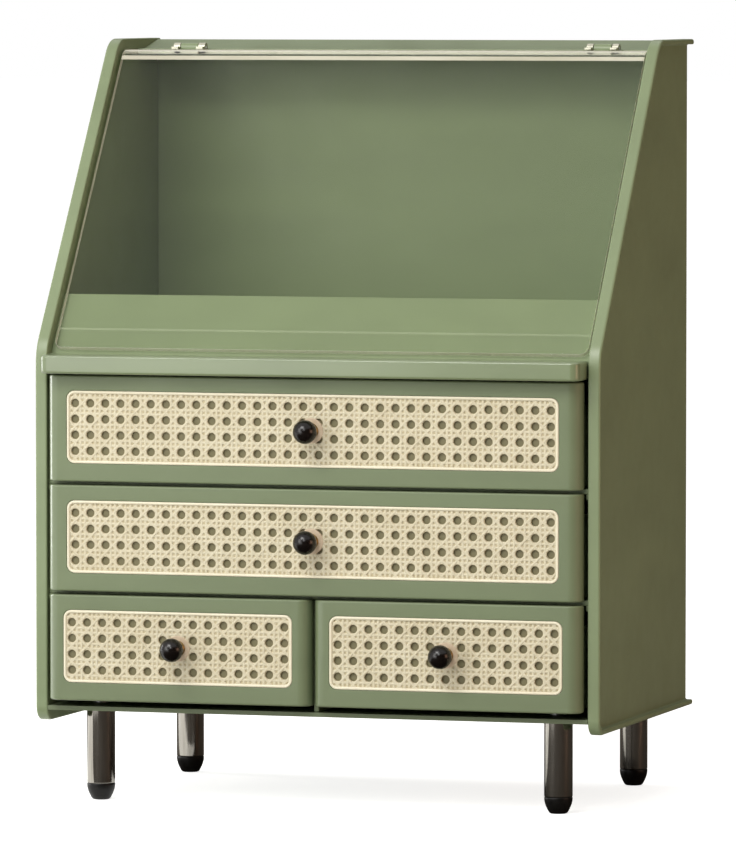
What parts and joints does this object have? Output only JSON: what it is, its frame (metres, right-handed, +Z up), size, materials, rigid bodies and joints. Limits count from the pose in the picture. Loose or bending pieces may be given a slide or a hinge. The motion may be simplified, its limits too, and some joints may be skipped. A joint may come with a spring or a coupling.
{
  "type": "dustproof makeup organizer",
  "caption": "Tabletop makeup organizer with a slanted clear flip lid over an open compartment, cane-look drawers with ball knobs, and a rimmed cabinet on tube legs.",
  "frame": {"origin": "on the floor under the middle of the bounding box, which runs from the knobs to the rear edge of the side panels", "axes": "+Z up, -Y towards the drawers' fronts, +X to the right seen from the front"},
  "size_m": [0.33, 0.2302, 0.43],
  "materials": {
    "sage_plastic": "sage green moulded plastic, satin gloss",
    "sage_tray": "sage green moulded plastic drawer tray",
    "cane_cream": "cream cane-look moulding, soft sheen",
    "knob_black": "black, polished",
    "brass_ring": "antique brass collar",
    "chrome_tube": "polished chrome plate",
    "rubber_foot": "black rubber, slightly glossy",
    "steel_fixings": "zinc-plated steel",
    "bright_lug": "bright plated hinge lugs",
    "smoked_acrylic": "clear acrylic with a light smoke tint, polished edges"
  },
  "bodies": {
    "cabinet": {"side_panel_left": "sage_plastic", "side_panel_right": "sage_plastic", "top_panel": "sage_plastic", "back_panel": "sage_plastic", "base_panel": "sage_plastic", "shelf": "sage_plastic", "front_fence": "sage_plastic", "partition_upper": "sage_plastic", "partition_lower": "sage_plastic", "centre_divider": "sage_plastic", "leg_front_left": "chrome_tube", "leg_front_right": "chrome_tube", "leg_rear_left": "chrome_tube", "leg_rear_right": "chrome_tube", "foot_front_left": "rubber_foot", "foot_front_right": "rubber_foot", "foot_rear_left": "rubber_foot", "foot_rear_right": "rubber_foot", "leg_screws": "steel_fixings", "hinge_block_left": "sage_plastic", "hinge_block_right": "sage_plastic", "hinge_pin_left": "steel_fixings", "hinge_pin_right": "steel_fixings"},
    "lid": {"lid_window": "smoked_acrylic", "lid_lugs_left": "bright_lug", "lid_lugs_right": "bright_lug"},
    "drawer_upper": {"tray_upper": "sage_tray", "front_upper": "sage_plastic", "cane_upper": "cane_cream", "knob_upper": "knob_black", "knob_ring_upper": "brass_ring", "knob_screw_upper": "steel_fixings"},
    "drawer_middle": {"tray_middle": "sage_tray", "front_middle": "sage_plastic", "cane_middle": "cane_cream", "knob_middle": "knob_black", "knob_ring_middle": "brass_ring", "knob_screw_middle": "steel_fixings"},
    "drawer_left": {"tray_left": "sage_tray", "front_left": "sage_plastic", "cane_left": "cane_cream", "knob_left": "knob_black", "knob_ring_left": "brass_ring", "knob_screw_left": "steel_fixings"},
    "drawer_right": {"tray_right": "sage_tray", "front_right": "sage_plastic", "cane_right": "cane_cream", "knob_right": "knob_black", "knob_ring_right": "brass_ring", "knob_screw_right": "steel_fixings"}
  },
  "joints": [
    {"name": "lid_hinge", "type": "hinge", "parent": "cabinet", "child": "lid", "pos_m": [0, 0.0681, 0.4244], "axis": [-1, 0, 0], "range_deg": [0, 155]},
    {"name": "drawer_upper_slide", "type": "slide", "parent": "cabinet", "child": "drawer_upper", "axis": [0, -1, 0], "range_m": [0, 0.14]},
    {"name": "drawer_middle_slide", "type": "slide", "parent": "cabinet", "child": "drawer_middle", "axis": [0, -1, 0], "range_m": [0, 0.14]},
    {"name": "drawer_left_slide", "type": "slide", "parent": "cabinet", "child": "drawer_left", "axis": [0, -1, 0], "range_m": [0, 0.14]},
    {"name": "drawer_right_slide", "type": "slide", "parent": "cabinet", "child": "drawer_right", "axis": [0, -1, 0], "range_m": [0, 0.14]}
  ]
}
